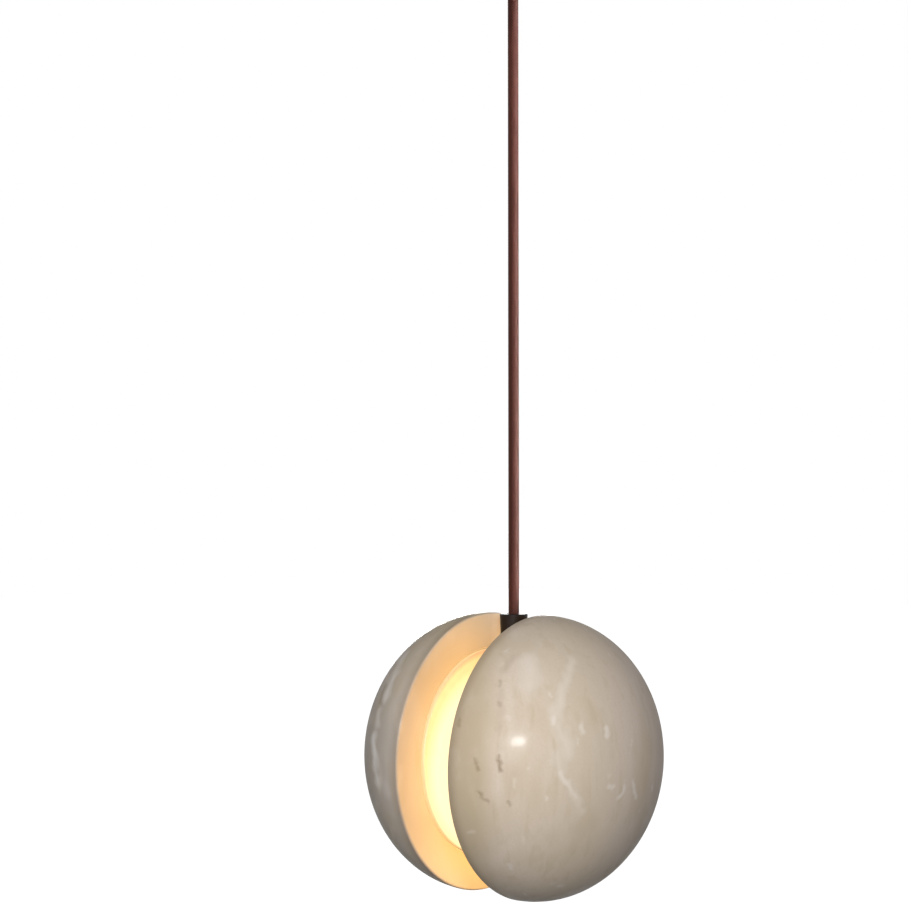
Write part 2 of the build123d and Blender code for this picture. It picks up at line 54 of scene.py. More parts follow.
hanger_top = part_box("hanger")[1].z
canopy_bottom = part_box("canopy_cup")[0].z
dome_radius = (dome_high.z - dome_low.z) / 2
dome_depth = dome_high.x - dome_low.x
face_x = dome_low.x
head_z = (dome_high.z + dome_low.z) / 2
head_centre = Vector((0, 0, head_z))
disc_radius = (disc_high.z - disc_low.z) / 2
cord_diameter = cord_high.x - cord_low.x
cord_radius = cord_diameter / 2

# Details of the stone that the frame's boxes don't give
rim_fillet = 0.0015
lip_chamfer = 0.0006
disc_clearance = 0.0004
ledge_width = 0.0095
cavity_corner_share = 0.6
bond_gap = 0.0001
glue_pocket = 0.001

# The stone's beds stand across the photograph's view. They reach and wave this far either way.
# The width and the places of the veins are shares of the whole reach.
bed_reach = 0.1
bed_wave = 0.01
vein_width = 0.014
vein_places = (0.05, 0.115)

# The palest place of a lit disc is this far below its middle
pale_drop = 0.008

# How strongly a lit disc shines from its face and from its narrow wall
face_glow = 0.65
wall_glow = 0.66

# Along the rim the stone is darkened by painted shade, and round a disc its lip has a painted glow, as if
# lit through the narrow gap
rim_painted_shade = 0.38
rim_shade_width = 0.009
lip_glow = 0.4
lip_fade = 0.0001
lip_depth = 0.0095

# Painted light on the stone's flat faces: painted shade makes them browner round a height above their
# middle, and painted light makes them paler far from it.
# The two reaches are shares of a dome's radius.
face_painted_light_share = 0.25
painted_shade_rise = 0.008
painted_shade_reach = 0.45
painted_light_reach = 1.0

# A surface turns into a flat face between these two shares of its normal along the domes' axis
face_normals = (0.3, 0.9)

# The photograph's camera, in degrees, metres and millimetres of lens, for a square picture
picture_size = 908
view_azimuth = 38.57
view_elevation = 8.74
view_distance = 1.0473
camera_turn = 40.72
camera_pitch = 1.92
camera_lens = 62.97
sensor_width = 36.0
across_turn = math.radians(camera_turn)

black_nodes = ["canopy_cup", "canopy_screws", "ball_socket", "socket_ring_nut", "hanger", "stem", "hub"]
steel_nodes = ["ceiling_bracket", "cord_stop_screw", "hub_grub_screw", "axle", "board_screws"]
brass_nodes = [
    "earth_screw",
    "swivel_ball",
    "cord_stop",
    "cord_ferrule",
    "dome_insert_left",
    "dome_insert_right",
]
nylon_nodes = ["seat_liner", "swivel_washer"]
plastic_nodes = ["led_driver", "terminal_block", "lead_connector"]
lead_nodes = ["driver_input_lead", "driver_output_lead", "stem_lead", "led_lead_left", "led_lead_right"]
rubber_nodes = ["driver_pad", "gasket_left", "gasket_right"]
tray_nodes = ["led_tray_left", "led_tray_right"]
board_nodes = ["led_board_left", "led_board_right"]
chip_nodes = ["led_chips_left", "led_chips_right"]
disc_nodes = ["diffuser_left", "diffuser_right"]
sides = {"right": 1, "left": -1}


def from_screen(red, green, blue):
    """A colour written as it looks on a screen, 0 to 255, as linear values with alpha."""
    shares = [channel / 255 for channel in (red, green, blue)]
    linear = [s / 12.92 if s <= 0.04045 else ((s + 0.055) / 1.055) ** 2.4 for s in shares]
    return (*linear, 1.0)


def dimmed(colour, share):
    """A colour with less light, its alpha kept."""
    return (*[share * channel for channel in colour[:3]], colour[3])


def direction(azimuth, elevation):
    """The way from the lamp to a place round it, from two angles in degrees."""
    turn, rise = math.radians(azimuth), math.radians(elevation)
    return Vector(
        (math.cos(rise) * math.sin(turn), -math.cos(rise) * math.cos(turn), math.sin(rise))
    )


def make_camera():
    """The camera at the photograph's place."""
    data = bpy.data.cameras.new("photo_camera")
    data.lens = camera_lens
    data.sensor_width = sensor_width
    camera = bpy.data.objects.new("photo_camera", data)
    camera.location = head_centre + direction(view_azimuth, view_elevation) * view_distance
    camera.rotation_euler = (math.radians(90 + camera_pitch), 0, math.radians(camera_turn))
    bpy.context.scene.collection.objects.link(camera)
    bpy.context.scene.camera = camera
    bpy.context.view_layer.update()
    return camera


camera = make_camera()


class Graph:
    """Short calls that build one material's nodes."""

    def __init__(self, name):
        self.material = bpy.data.materials.new(name)
        self.material.use_nodes = True
        self.nodes = self.material.node_tree.nodes
        self.links = self.material.node_tree.links
        self.shader = self.nodes["Principled BSDF"]
        spot = self.nodes.new("ShaderNodeTexCoord")
        self.place = spot.outputs["Object"]
        self.normal = spot.outputs["Normal"]

    def set(self, **values):
        """Constants on the shader's own sockets, with _ for a space in a socket's name."""
        for name, value in values.items():
            self.shader.inputs[name.replace("_", " ")].default_value = value

    def join(self, output, socket):
        self.links.new(output, self.shader.inputs[socket])

    def stretch(self, scale):
        """Coordinates scaled along X, Y and Z."""
        node = self.nodes.new("ShaderNodeMapping")
        node.vector_type = "TEXTURE"
        node.inputs["Scale"].default_value = [1 / share for share in scale]
        self.links.new(self.place, node.inputs["Vector"])
        return node.outputs["Vector"]

    def noise(self, scale, detail=3.0, vector=None, distortion=0.0):
        node = self.nodes.new("ShaderNodeTexNoise")
        node.inputs["Scale"].default_value = scale
        node.inputs["Detail"].default_value = detail
        node.inputs["Distortion"].default_value = distortion
        self.links.new(vector or self.place, node.inputs["Vector"])
        return node.outputs["Fac"]

    def vector_math(self, operation, vector, constant=(0, 0, 0)):
        """The outputs of an operation on a vector and a constant one."""
        node = self.nodes.new("ShaderNodeVectorMath")
        node.operation = operation
        self.links.new(vector, node.inputs[0])
        node.inputs[1].default_value = constant
        return node.outputs

    def from_axis(self, centre):
        """The distance from a line parallel to X through a place."""
        flat = self.vector_math("MULTIPLY", self.place, (0, 1, 1))
        return self.vector_math("DISTANCE", flat["Vector"], centre)["Value"]

    def distance_along(self, axis, vector, start=0.0):
        """How far a vector's X, Y or Z value is from a start, either way."""
        parts = self.nodes.new("ShaderNodeSeparateXYZ")
        self.links.new(vector, parts.inputs["Vector"])
        return self.math("ABSOLUTE", self.math("SUBTRACT", parts.outputs[axis], start))

    def on_face(self):
        """1 where the surface looks along the domes' axis and 0 where it looks across it."""
        return self.spread(self.distance_along("X", self.normal), *face_normals)

    def attribute(self, name):
        node = self.nodes.new("ShaderNodeAttribute")
        node.attribute_name = name
        return node.outputs["Fac"]

    def math(self, operation, first, second=0.0):
        node = self.nodes.new("ShaderNodeMath")
        node.operation = operation
        for socket, value in zip(node.inputs, (first, second)):
            if isinstance(value, (int, float)):
                socket.default_value = value
            else:
                self.links.new(value, socket)
        return node.outputs["Value"]

    def spread(self, value, low, high, to_low=0.0, to_high=1.0, smooth=True):
        """A value's range from low to high, as a range from to_low to to_high, clamped."""
        node = self.nodes.new("ShaderNodeMapRange")
        node.interpolation_type = "SMOOTHSTEP" if smooth else "LINEAR"
        for socket, number in zip(list(node.inputs)[1:5], (low, high, to_low, to_high)):
            socket.default_value = number
        self.links.new(value, node.inputs["Value"])
        return node.outputs["Result"]

    def ramp(self, value, stops):
        """A colour for each value, from (value, colour) stops."""
        node = self.nodes.new("ShaderNodeValToRGB")
        elements = node.color_ramp.elements
        while len(elements) < len(stops):
            elements.new(1.0)
        for element, (position, colour) in zip(elements, stops):
            element.position = position
            element.color = colour
        self.links.new(value, node.inputs["Fac"])
        return node.outputs["Color"]

    def mix(self, share, first, second):
        """The second colour over the first one, by a share."""
        node = self.nodes.new("ShaderNodeMix")
        node.data_type = "RGBA"
        factor, a, b = node.inputs[0], node.inputs[6], node.inputs[7]
        for socket, value in ((factor, share), (a, first), (b, second)):
            if isinstance(value, (int, float, tuple)):
                socket.default_value = value
            else:
                self.links.new(value, socket)
        return node.outputs[2]

    def bump(self, height, distance, strength=1.0):
        node = self.nodes.new("ShaderNodeBump")
        node.inputs["Strength"].default_value = strength
        node.inputs["Distance"].default_value = distance
        self.links.new(height, node.inputs["Height"])
        self.join(node.outputs["Normal"], "Normal")


pit_brown_and_painted_shade = from_screen(136, 106, 74)
fleck_white_and_painted_light = from_screen(252, 245, 238)


def bedded_colour(graph, clouds, grain):
    """Soft upright beds across the view, with thin broken veins, pale clouds and tan patches."""
    ash = from_screen(198, 188, 178)
    grey = from_screen(210, 199, 186)
    tan = from_screen(206, 188, 160)
    pale = from_screen(227, 211, 194)
    cream = from_screen(219, 203, 182)
    pink = from_screen(224, 208, 195)
    vein = from_screen(238, 227, 212)
    view_right = (math.cos(across_turn), math.sin(across_turn), 0)
    across = graph.vector_math("DOT_PRODUCT", graph.place, view_right)
    waves = graph.noise(14, 3.0, graph.stretch((1, 1, 0.5)))
    waved = graph.math("ADD", across["Value"], graph.spread(waves, 0.2, 0.8, -bed_wave, bed_wave))
    share = graph.spread(waved, -bed_reach, bed_reach, smooth=False)
    beds = [
        (0.02, ash),
        (0.16, grey),
        (0.3, tan),
        (0.38, tan),
        (0.47, pale),
        (0.66, cream),
        (0.86, pink),
    ]
    colour = graph.ramp(share, beds)
    thin = graph.ramp(share, [(place + edge * vein_width, (level, level, level, 1))
                              for place in vein_places
                              for edge, level in ((-1, 0), (0, 1), (1, 0))])
    broken = graph.spread(graph.noise(30, 3.0), 0.4, 0.62, 0.0, 0.6)
    colour = graph.mix(graph.math("MULTIPLY", thin, broken), colour, vein)
    colour = graph.mix(graph.spread(clouds, 0.5, 0.75, 0.0, 0.4), colour, pale)
    patches = graph.noise(34, 2.0, graph.stretch((1, 1, 0.5)))
    colour = graph.mix(graph.spread(patches, 0.5, 0.7, 0.0, 0.45), colour, tan)
    streaks = graph.noise(150, 3.0, graph.stretch((1, 1, 0.16)), 0.4)
    colour = graph.mix(graph.spread(streaks, 0.5, 0.75, 0.0, 0.45), colour, tan)
    return graph.mix(graph.spread(grain, 0.35, 0.65, 0.0, 0.16), colour, tan)


def paint_rim_and_face_light(graph, colour, from_middle):
    """The stone's colour with painted shade along its rim and painted light and shade on its flat face.
    """
    # Painted shade: the curved side turns browner along the rim
    near_rim = graph.spread(from_middle, face_x, face_x + rim_shade_width, rim_painted_shade, 0.0)
    on_side = graph.math("SUBTRACT", 1.0, graph.on_face())
    colour = graph.mix(graph.math("MULTIPLY", near_rim, on_side), colour, pit_brown_and_painted_shade)
    # Painted shade round a height above the face's middle, painted light far from it
    from_painted_shade = graph.distance_along("Z", graph.place, head_z + painted_shade_rise)
    to_painted_light = graph.spread(from_painted_shade, painted_shade_reach * dome_radius, painted_light_reach * dome_radius)
    face_painted_light = graph.ramp(to_painted_light, [(0.0, pit_brown_and_painted_shade), (1.0, fleck_white_and_painted_light)])
    at_face = graph.spread(from_middle, face_x, face_x + rim_fillet, face_painted_light_share, 0.0)
    return graph.mix(at_face, colour, face_painted_light)


def light_lip(graph, from_middle):
    """Painted light: a weak glow on the stone's lip round the disc, as if lit through the gap, too weak
    to be sampled as a lamp.
    """
    lip_radius = disc_radius + disc_clearance + lip_chamfer
    round_disc = graph.spread(graph.from_axis(head_centre), lip_radius, lip_radius + lip_fade, 1.0, 0.0)
    near_face = graph.spread(from_middle, face_x + lip_depth, face_x + 2 * lip_depth, 1.0, 0.0)
    dark = from_screen(0, 0, 0)
    painted_lip_glow = dimmed(from_screen(255, 206, 140), lip_glow)
    graph.join(graph.mix(graph.math("MULTIPLY", round_disc, near_face), dark, painted_lip_glow), "Emission Color")
    graph.set(Emission_Strength=1.0)
    graph.material.cycles.emission_sampling = "NONE"


def make_stone():
    """Honed cream stone with pale flecks and small brown pits, painted reflection streaks on the far
    dome, painted shade along the rim and painted light on the faces and lip.
    """
    graph = Graph("honed_stone")
    clouds = graph.noise(70, 5.0, graph.stretch((1, 1, 0.6)))
    grain = graph.noise(700, 3.0)
    from_middle = graph.distance_along("X", graph.place)
    colour = bedded_colour(graph, clouds, grain)
    # Pale flecks, with painted reflection streaks on the far dome
    colour = graph.mix(graph.attribute("fleck_and_reflection"), colour, fleck_white_and_painted_light)
    colour = graph.mix(graph.attribute("pit"), colour, pit_brown_and_painted_shade)
    graph.join(paint_rim_and_face_light(graph, colour, from_middle), "Base Color")
    light_lip(graph, from_middle)
    graph.join(graph.spread(clouds, 0.3, 0.7, 0.42, 0.52), "Roughness")
    graph.set(Specular_IOR_Level=0.015, Coat_Weight=0.04, Coat_IOR=3.0, Coat_Roughness=0.16)
    graph.bump(grain, 0.00004, 0.5)
    return graph.material


def make_opal():
    """Lit opal disc: paler in the middle, a deeper yellow at its edge and orange at its top edge."""
    graph = Graph("lit_opal")
    reach = graph.from_axis(head_centre - Vector((0, 0, pale_drop)))
    share = graph.spread(reach, 0.0, disc_radius + pale_drop, smooth=False)
    middle = dimmed(from_screen(255, 252, 216), face_glow)
    outer = dimmed(from_screen(255, 242, 172), face_glow)
    edge = dimmed(from_screen(255, 216, 132), face_glow)
    top_edge = dimmed(from_screen(250, 152, 80), face_glow)
    wall = dimmed(from_screen(255, 206, 130), wall_glow)
    stops = [
        (0.0, middle),
        (0.73, middle),
        (0.83, outer),
        (0.89, edge),
        (0.94, edge),
        (0.985, top_edge),
    ]
    graph.join(graph.mix(graph.on_face(), wall, graph.ramp(share, stops)), "Emission Color")
    graph.set(Emission_Strength=1.0)
    milk = graph.noise(180, 3.0)
    white = graph.ramp(milk, [(0.3, from_screen(156, 152, 142)), (0.7, from_screen(164, 160, 150))])
    graph.join(white, "Base Color")
    graph.join(graph.spread(milk, 0.3, 0.7, 0.36, 0.46), "Roughness")
    return graph.material


def make_textile():
    """Braided cord cover: satin red-brown threads, with painted shade between them and painted light on
    their crowns.
    """
    graph = Graph("braided_textile")
    height = graph.attribute("braid")
    groove_shade_and_fibre = from_screen(30, 12, 8)
    thread = from_screen(70, 35, 27)
    crown_highlight = from_screen(84, 45, 36)
    # Painted shade in the gaps between threads and painted light on their crowns
    colour = graph.ramp(height, [(0.1, groove_shade_and_fibre), (0.55, thread), (0.95, crown_highlight)])
    fibres = graph.noise(2600, 2.0)
    colour = graph.mix(graph.spread(fibres, 0.35, 0.65, 0.0, 0.35), colour, groove_shade_and_fibre)
    graph.join(colour, "Base Color")
    graph.join(graph.spread(fibres, 0.3, 0.7, 0.5, 0.68), "Roughness")
    graph.set(Specular_IOR_Level=0.12, Sheen_Weight=0.02, Sheen_Roughness=0.4)
    graph.set(Sheen_Tint=from_screen(214, 168, 150))
    graph.bump(fibres, 0.00006, 0.6)
    return graph.material


def make_coat(name, low, high, roughness, grain, depth, metallic=0.0, shine=0.5):
    """A finish whose colour, roughness and surface vary with one fine grain."""
    graph = Graph(name)
    cloud = graph.noise(grain / 12, 4.0)
    fine = graph.noise(grain, 2.0)
    graph.join(graph.ramp(cloud, [(0.3, low), (0.7, high)]), "Base Color")
    graph.join(graph.spread(fine, 0.3, 0.7, roughness - 0.06, roughness + 0.06), "Roughness")
    graph.set(Metallic=metallic, Specular_IOR_Level=shine)
    graph.bump(fine, depth)
    return graph.material


def make_lit_chip():
    """Lit chips: a yellow phosphor with a fine speckle."""
    graph = Graph("lit_chip")
    speckle = graph.noise(4000, 2.0)
    glow = graph.ramp(speckle, [(0.3, from_screen(255, 214, 120)), (0.7, from_screen(255, 232, 160))])
    graph.join(glow, "Emission Color")
    graph.join(glow, "Base Color")
    graph.set(Emission_Strength=1.0, Roughness=0.4)
    return graph.material


stone = make_stone()
opal = make_opal()
textile = make_textile()
black_coat = make_coat(
    "black_powder_coat",
    from_screen(18, 12, 9),
    from_screen(27, 18, 14),
    roughness=0.42,
    grain=1600,
    depth=0.00006,
    shine=0.16,
)
zinc = make_coat(
    "zinc_steel",
    from_screen(186, 188, 190),
    from_screen(208, 209, 208),
    roughness=0.34,
    grain=900,
    depth=0.00002,
    metallic=1.0,
)
brass = make_coat(
    "turned_brass",
    from_screen(196, 162, 96),
    from_screen(214, 182, 116),
    roughness=0.3,
    grain=1200,
    depth=0.00002,
    metallic=1.0,
)
aluminium = make_coat(
    "cast_aluminium",
    from_screen(196, 198, 200),
    from_screen(214, 215, 216),
    roughness=0.4,
    grain=700,
    depth=0.00003,
    metallic=1.0,
)
board_mask = make_coat(
    "white_solder_mask",
    from_screen(226, 228, 224),
    from_screen(236, 237, 233),
    roughness=0.4,
    grain=1500,
    depth=0.00001,
)
nylon = make_coat(
    "natural_nylon",
    from_screen(214, 208, 190),
    from_screen(226, 221, 205),
    roughness=0.42,
    grain=1000,
    depth=0.00002,
)
white_plastic = make_coat(
    "white_plastic",
    from_screen(222, 221, 216),
    from_screen(232, 231, 227),
    roughness=0.46,
    grain=1800,
    depth=0.00004,
)
rubber = make_coat(
    "grey_rubber",
    from_screen(58, 57, 56),
    from_screen(70, 69, 67),
    roughness=0.72,
    grain=1400,
    depth=0.00004,
)
lead_sheath = make_coat(
    "lead_sheath",
    from_screen(196, 194, 188),
    from_screen(208, 206, 200),
    roughness=0.5,
    grain=1600,
    depth=0.00003,
)
lit_chip = make_lit_chip()


def dress(nodes, material):
    """Give CAD nodes a finish."""
    for name in nodes:
        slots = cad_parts[name].data.materials
        slots.clear()
        slots.append(material)


dress(black_nodes, black_coat)
dress(steel_nodes, zinc)
dress(brass_nodes, brass)
dress(nylon_nodes, nylon)
dress(plastic_nodes, white_plastic)
dress(lead_nodes, lead_sheath)
dress(rubber_nodes, rubber)
dress(tray_nodes, aluminium)
dress(board_nodes, board_mask)
dress(chip_nodes, lit_chip)
dress(disc_nodes, opal)


def add_mesh(name, points, faces, material):
    """A new smooth mesh object in the scene."""
    mesh = bpy.data.meshes.new(name)
    mesh.from_pydata(points, [], faces)
    mesh.materials.append(material)
    mesh.shade_smooth()
    piece = bpy.data.objects.new(name, mesh)
    bpy.context.scene.collection.objects.link(piece)
    return piece


# Cord: a braided cover along one straight route, drawn tight by the head's weight
cord_margin = 6 * cord_diameter
cord_route = [
    (0, 0, cord_low.z),
    (0, 0, cord_low.z + cord_margin),
    (0, 0, cord_high.z - cord_margin),
    (0, 0, cord_high.z),
]
braid_strands = 10
braid_lean = math.radians(50)
braid_relief = 0.00014
under_height = 0.5
cord_sides = 60
cord_ring_step = 0.0004


def route_line(route, step):
    """Points about a step apart along a smooth curve with the route as its control points."""
    curve = bpy.data.curves.new("cord_route", "CURVE")
    curve.dimensions = "3D"
    curve.resolution_u = 64
    spline = curve.splines.new("NURBS")
    spline.points.add(len(route) - 1)
    for control, place in zip(spline.points, route):
        control.co = (*place, 1.0)
    spline.order_u = 3
    spline.use_endpoint_u = True
    holder = bpy.data.objects.new("cord_route", curve)
    mesh = bpy.data.meshes.new_from_object(holder)
    line = np.array([vertex.co for vertex in mesh.vertices])
    bpy.data.objects.remove(holder)
    bpy.data.curves.remove(curve)
    bpy.data.meshes.remove(mesh)
    along = np.concatenate([[0], np.cumsum(np.linalg.norm(np.diff(line, axis=0), axis=1))])
    places = np.linspace(0, along[-1], round(along[-1] / step) + 1)
    return np.stack([np.interp(places, along, line[:, axis]) for axis in range(3)], axis=1)


def braid_height(angle, distance):
    """Height of a two-way braid, 0 in the gaps and 1 on the crowns of the threads."""
    climb = braid_strands * math.tan(braid_lean) / cord_radius
    one_way = braid_strands * angle + climb * distance
    other_way = braid_strands * angle - climb * distance
    turn = 2 * math.pi
    one_crown = np.abs(np.sin(one_way / 2))
    other_crown = np.abs(np.sin(other_way / 2))
    one_on_top = (np.floor(one_way / turn) + np.floor(other_way / turn)) % 2 == 0
    over = np.where(one_on_top, one_crown, other_crown)
    under = np.where(one_on_top, other_crown, one_crown)
    return np.maximum(over, under_height * under)


def make_cord():
    line = route_line(cord_route, cord_ring_step)
    rings = len(line)
    angles = np.arange(cord_sides) * 2 * math.pi / cord_sides
    distances = line[:, 2] - line[0, 2]
    angle_grid, distance_grid = np.meshgrid(angles, distances)
    height = braid_height(angle_grid, distance_grid)
    reach = cord_radius - braid_relief * (1 - height)
    points = np.stack(
        [
            line[:, 0][:, None] + reach * np.cos(angle_grid),
            line[:, 1][:, None] + reach * np.sin(angle_grid),
            np.broadcast_to(line[:, 2][:, None], reach.shape),
        ],
        axis=2,
    ).reshape(-1, 3)
    faces = []
    for ring in range(rings - 1):
        for side in range(cord_sides):
            after = (side + 1) % cord_sides
            low, high = ring * cord_sides, (ring + 1) * cord_sides
            faces.append((low + side, low + after, high + after, high + side))
    faces.append(tuple(reversed(range(cord_sides))))
    faces.append(tuple(range((rings - 1) * cord_sides, rings * cord_sides)))
    cord = add_mesh("braided_cord", points.tolist(), faces, textile)
    cord.data.set_sharp_from_angle(angle=math.radians(60))
    shade = cord.data.attributes.new("braid", "FLOAT", "POINT")
    shade.data.foreach_set("value", height.astype(np.float32).ravel())
    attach(cord, "cord")
    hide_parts("pendant_cord")


make_cord()

# Domes: the CAD profile as a fine mesh, with small pits and flecks in the stone and painted reflection
# streaks on the far dome
dome_sides = 320
outer_steps = 90
fillet_steps = 8
corner_steps = 6
hone_depth = 0.00006
hone_scale = 45

# Marks in the stone that the photograph shows, and painted reflection streaks on the far dome: lines
# between two of its pixels, a width and a strength
photo_pits = {
    "right": [
        ((499, 755), (499, 761), 0.0018, 0.5),
        ((499, 761), (500, 770), 0.0021, 0.62),
        ((474, 758), (476, 763), 0.0016, 0.4),
        ((476, 763), (478, 769), 0.0018, 0.45),
        ((479, 793), (481, 795), 0.0024, 0.6),
        ((481, 796), (488, 802), 0.0018, 0.4),
        ((508, 801), (510, 805), 0.0018, 0.38),
        ((499, 702), (500, 706), 0.0018, 0.32),
        ((500, 682), (500, 686), 0.0018, 0.28),
        ((459, 719), (459, 726), 0.0018, 0.32),
        ((512, 659), (506, 667), 0.006, 0.2),
        ((502, 690), (499, 745), 0.0035, 0.12),
    ],
    "left": [((384, 688), (380, 702), 0.003, 0.3)],
}
photo_flecks_and_reflections = {
    "right": [
        ((606, 729), (607, 735), 0.0026, 0.6),
        ((624, 788), (620, 797), 0.0026, 0.55),
        ((609, 787), (614, 787), 0.0024, 0.4),
        ((633, 783), (636, 797), 0.0024, 0.5),
        ((652, 787), (652, 789), 0.0026, 0.5),
        ((581, 726), (582, 732), 0.0026, 0.4),
        ((554, 717), (554, 723), 0.003, 0.5),
        ((559, 886), (562, 886), 0.0022, 0.5),
        ((468, 832), (474, 832), 0.002, 0.3),
        ((573, 661), (563, 688), 0.0042, 0.32),
        ((563, 688), (557, 715), 0.005, 0.36),
        ((557, 715), (559, 735), 0.0045, 0.22),
        ((563, 736), (570, 753), 0.006, 0.26),
        ((556, 755), (560, 772), 0.0045, 0.22),
        ((560, 772), (567, 784), 0.003, 0.45),
        ((567, 784), (577, 798), 0.003, 0.38),
        ((577, 798), (582, 812), 0.0035, 0.22),
        ((531, 660), (529, 685), 0.01, 0.3),
    ],
    # Painted reflections: pale streaks of a light along the far dome's edge, drawn as flecks
    "left": [
        ((374, 737), (375, 763), 0.0062, 1.0),
        ((375, 763), (378, 782), 0.0055, 0.85),
        ((404, 656), (394, 675), 0.006, 0.55),
        ((394, 675), (385, 698), 0.006, 0.75),
        ((379, 712), (377, 724), 0.006, 0.55),
        ((386, 784), (388, 793), 0.006, 0.25),
    ],
}
pit_sink = 0.15
scattered_pits = 18
scattered_flecks = 26
scattered_width = (0.001, 0.0024)
scattered_strength = (0.12, 0.4)
scattered_from_pole = (0.12, 0.99)
most_lean = 0.4
longest_mark = 0.004

# How a mark's line wanders and frays, and how finely the skin is cut round a narrow one
narrow_mark = 0.0034
mark_cuts = 3
mark_wander = 0.35
wander_pace = 0.6
mark_fray = 0.8
fray_pace = 0.8
mark_reach = 2.0
shortest_square = 1e-12


def outer_point(turn, inset=0.0):
    """Depth and radius on the dome's ellipse, turned from its pole, moved in along the normal."""
    normal = Vector((math.cos(turn) / dome_depth, math.sin(turn) / dome_radius)).normalized()
    return Vector((dome_depth * math.cos(turn), dome_radius * math.sin(turn))) - inset * normal


def rim_turn():
    """Where the rim's fillet leaves the ellipse: there its centre is one fillet behind the face."""
    low, high = math.radians(45), math.radians(90)
    for _ in range(50):
        middle = (low + high) / 2
        if outer_point(middle, rim_fillet).x > rim_fillet:
            low = middle
        else:
            high = middle
    return low


def arc(centre, radius, start, end, steps):
    """Points along an arc, in depth and radius, without its first one."""
    turns = [start + (end - start) * (step + 1) / steps for step in range(steps)]
    return [(centre[0] + radius * math.cos(t), centre[1] + radius * math.sin(t)) for t in turns]


def dome_profile():
    """The stone's section from its pole round the face and recess to the bottom of its blind hole."""
    last = rim_turn()
    outline = [tuple(outer_point(last * step / outer_steps)) for step in range(outer_steps + 1)]
    centre = outer_point(last, rim_fillet)
    start = math.atan2(outline[-1][1] - centre.y, outline[-1][0] - centre.x)
    outline += arc(centre, rim_fillet, start, math.pi, fillet_steps)
    recess_radius = disc_radius + disc_clearance
    ledge_depth = gasket_high.x - face_x
    cavity_radius = disc_radius - ledge_width
    cavity_floor = insert_low.x - face_x
    hole_radius = (insert_high.z - insert_low.z) / 2 + bond_gap
    hole_end = insert_high.x - face_x + glue_pocket
    outline += [
        (0, recess_radius + lip_chamfer),
        (lip_chamfer, recess_radius),
        (ledge_depth, recess_radius),
        (ledge_depth, cavity_radius),
    ]
    cavity_corner = cavity_corner_share * (cavity_floor - ledge_depth)
    corner = (cavity_floor - cavity_corner, cavity_radius - cavity_corner)
    outline.append((corner[0], cavity_radius))
    outline += arc(corner, cavity_corner, math.pi / 2, 0, corner_steps)
    outline += [(cavity_floor, hole_radius), (hole_end, hole_radius), (hole_end, 0)]
    return outline


def turned_place(depth, radius, angle, side):
    """A place behind a dome's face, at a radius and an angle round the domes' axis."""
    return side * (face_x + depth), radius * math.sin(angle), head_z + radius * math.cos(angle)


def turned_mesh(profile, side):
    """Points and faces of a profile turned about the domes' axis, outward on either side."""
    rings = profile[1:-1]
    points = [(side * (face_x + profile[0][0]), 0, head_z)]
    for depth, radius in rings:
        for step in range(dome_sides):
            angle = 2 * math.pi * step / dome_sides
            points.append(turned_place(depth, radius, angle, side))
    points.append((side * (face_x + profile[-1][0]), 0, head_z))
    faces = []
    for step in range(dome_sides):
        after = (step + 1) % dome_sides
        faces.append((0, 1 + after, 1 + step))
        for ring in range(len(rings) - 1):
            near, far = 1 + ring * dome_sides, 1 + (ring + 1) * dome_sides
            faces.append((near + step, near + after, far + after, far + step))
        last = 1 + (len(rings) - 1) * dome_sides
        faces.append((last + step, last + after, len(points) - 1))
    if side < 0:
        faces = [tuple(reversed(face)) for face in faces]
    return points, faces


def outer_normal(place, side):
    """The outward direction of a dome's curved side at a place on it."""
    depth = (side * place.x - face_x) / dome_depth**2
    across = place.y / dome_radius**2
    up = (place.z - head_z) / dome_radius**2
    return Vector((side * depth, across, up)).normalized()


def pixel_place(pixel, side):
    """Where the photograph's ray through a pixel first meets a dome's curved side."""
    half = picture_size / 2
    focal = picture_size * camera_lens / sensor_width
    ray = camera.matrix_world.to_3x3() @ Vector((pixel[0] - half, half - pixel[1], -focal)).normalized()
    squeeze = Vector((1 / dome_depth, 1 / dome_radius, 1 / dome_radius))
    start = (camera.location - Vector((side * face_x, 0, head_z))) * squeeze
    way = ray * squeeze
    a = way.dot(way)
    b = start.dot(way)
    c = start.dot(start) - 1
    return camera.location + ray * ((-b - math.sqrt(b * b - a * c)) / a)


def photo_mark(line, side):
    """A mark between two of the photograph's pixels, with its width and strength."""
    start, end, width, strength = line
    return pixel_place(start, side), pixel_place(end, side), width, strength


def scattered_marks(count, side, chance):
    """Short lines spread over a dome's curved side, most of them nearly upright."""
    marks = []
    for _ in range(count):
        turn = math.acos(chance.uniform(*scattered_from_pole))
        angle = chance.uniform(0, 2 * math.pi)
        depth, radius = outer_point(turn)
        start = Vector(turned_place(depth, radius, angle, side))
        lean = Vector((chance.uniform(-most_lean, most_lean), chance.uniform(-most_lean, most_lean), 1))
        normal = outer_normal(start, side)
        along = (lean - lean.dot(normal) * normal).normalized()
        end = start + along * chance.uniform(0, longest_mark)
        marks.append((start, end, chance.uniform(*scattered_width), chance.uniform(*scattered_strength)))
    return marks


def in_photo(mark, side):
    """Whether a mark is on the part of a dome that the photograph shows."""
    start = mark[0]
    return outer_normal(start, side).dot(camera.location - start) > 0


def line_share(place, start, end, width):
    """1 on a wandering line and 0 a ragged width away from it."""
    whole = end - start
    wandered = place + mark_wander * width * noise.noise_vector(place * (wander_pace / width))
    along = max(0.0, min(1.0, (wandered - start).dot(whole) / max(whole.length_squared, shortest_square)))
    ragged = width * (1 + mark_fray * noise.noise(place * (fray_pace / width)))
    return max(0.0, 1 - (wandered - start - along * whole).length / ragged)


